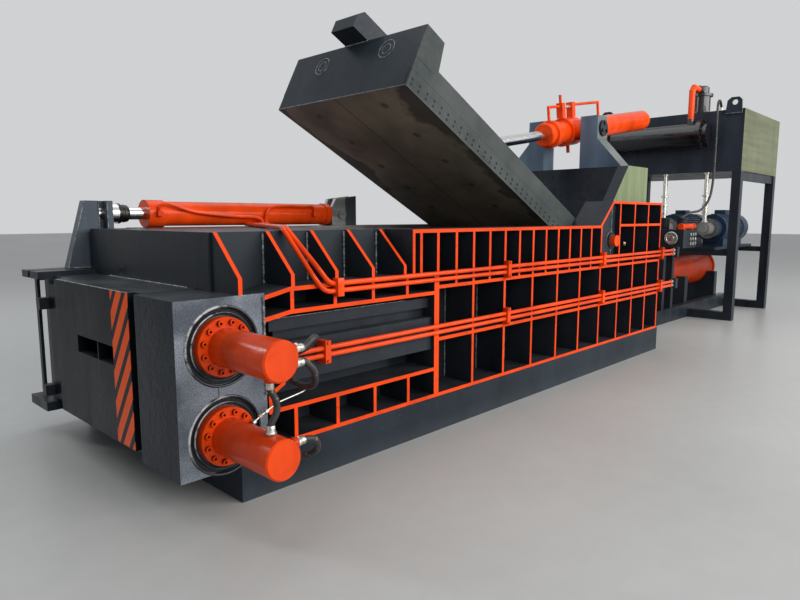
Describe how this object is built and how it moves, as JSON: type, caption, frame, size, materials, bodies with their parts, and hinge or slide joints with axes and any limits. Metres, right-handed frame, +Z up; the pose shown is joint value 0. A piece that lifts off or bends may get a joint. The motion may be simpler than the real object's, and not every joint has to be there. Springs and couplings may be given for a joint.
{
  "type": "recycling baler",
  "caption": "Hydraulic scrap baler: ribbed press box with hinged lid, main ram, side ram, sliding bale gate, cylinders, pipework and a tank and pump unit behind.",
  "frame": {"origin": "centre of the underside of the base skid, on the floor, midway along its length and width", "axes": "+Z up; +X along the machine from the press head with the side cylinders towards the main cylinder and tank; +Y across it, away from the side cylinders"},
  "size_m": [10.375, 2.64, 3.41],
  "materials": {
    "dark_paint": "semi-gloss dark blue grey enamel",
    "orange_paint": "gloss orange red enamel",
    "chrome_rod": "hard chrome",
    "wear_steel": "scuffed wear plate",
    "black_rubber": "matt hose rubber"
  },
  "bodies": {
    "frame": {"base_skid": "dark_paint", "floor_liner": "wear_steel", "near_wall_panel": "dark_paint", "far_wall_panel": "dark_paint", "near_rib_grid": "orange_paint", "far_rib_grid": "orange_paint", "near_front_bank": "dark_paint", "far_front_bank": "dark_paint", "near_gussets": "orange_paint", "upper_box": "dark_paint", "head_block": "dark_paint", "front_wall": "dark_paint", "head_floor": "dark_paint", "head_roof": "dark_paint", "gate_keeper": "dark_paint", "gate_cylinder": "orange_paint", "gate_cylinder_post": "dark_paint", "upper_side_cylinder": "orange_paint", "lower_side_cylinder": "orange_paint", "side_flange_bolts": "orange_paint", "main_cylinder": "orange_paint", "rear_wall": "dark_paint", "ram_roof": "dark_paint", "rear_box": "dark_paint", "rear_cheeks": "dark_paint", "near_trunnion_bracket": "dark_paint", "far_trunnion_bracket": "dark_paint", "trunnion_caps": "dark_paint", "wall_blades": "wear_steel", "hinge_pins": "orange_paint", "hinge_bosses": "dark_paint", "upper_pipe_pair": "orange_paint", "lower_pipe_pair": "orange_paint", "pipe_clamps": "orange_paint", "gate_pipes": "orange_paint", "side_hoses": "black_rubber", "rear_subframe": "dark_paint", "oil_tank": "dark_paint", "tank_stand": "dark_paint", "oil_cooler": "dark_paint", "return_filter": "dark_paint", "return_pipe": "orange_paint", "pump_sets": "dark_paint", "valve_manifold": "dark_paint", "drain_hose": "black_rubber"},
    "gate": {"gate_slab": "dark_paint", "gate_bracket": "dark_paint", "gate_rod": "chrome_rod"},
    "side_ram": {"side_rods": "chrome_rod", "side_platen": "wear_steel"},
    "main_ram": {"main_ram": "wear_steel", "main_rod": "chrome_rod"},
    "lid": {"lid_body": "dark_paint", "lid_spine": "dark_paint", "lid_rod_lugs": "dark_paint", "lid_blades": "wear_steel"},
    "lid_barrel": {"lid_cylinder": "orange_paint", "lid_cylinder_pipes": "orange_paint"},
    "lid_rod": {"lid_rod": "chrome_rod"}
  },
  "joints": [
    {"name": "lid_hinge", "type": "hinge", "parent": "frame", "child": "lid", "pos_m": [1.56, 0, 1.268], "axis": [0, 1, 0], "range_deg": [-26.8, 16]},
    {"name": "lid_cylinder_tilt", "type": "hinge", "parent": "frame", "child": "lid_barrel", "pos_m": [2.435, 0, 2.498], "axis": [0, 1, 0], "range_deg": [-12, 7.2]},
    {"name": "lid_rod_slide", "type": "slide", "parent": "lid_barrel", "child": "lid_rod", "axis": [-0.9857, 0, -0.1688], "range_m": [-0.295, 0.49]},
    {"name": "main_ram_slide", "type": "slide", "parent": "frame", "child": "main_ram", "axis": [-1, 0, 0], "range_m": [0, 3.86]},
    {"name": "side_ram_slide", "type": "slide", "parent": "frame", "child": "side_ram", "axis": [0, 1, 0], "range_m": [0, 0.7]},
    {"name": "gate_slide", "type": "slide", "parent": "frame", "child": "gate", "axis": [-1, 0, 0], "range_m": [0, 0.6]}
  ],
  "couplings": [
    {"joint": "lid_cylinder_tilt", "follows": "lid_hinge", "ratio": 0.395},
    {"joint": "lid_rod_slide", "follows": "lid_hinge", "m_per_rad": -1.025}
  ]
}
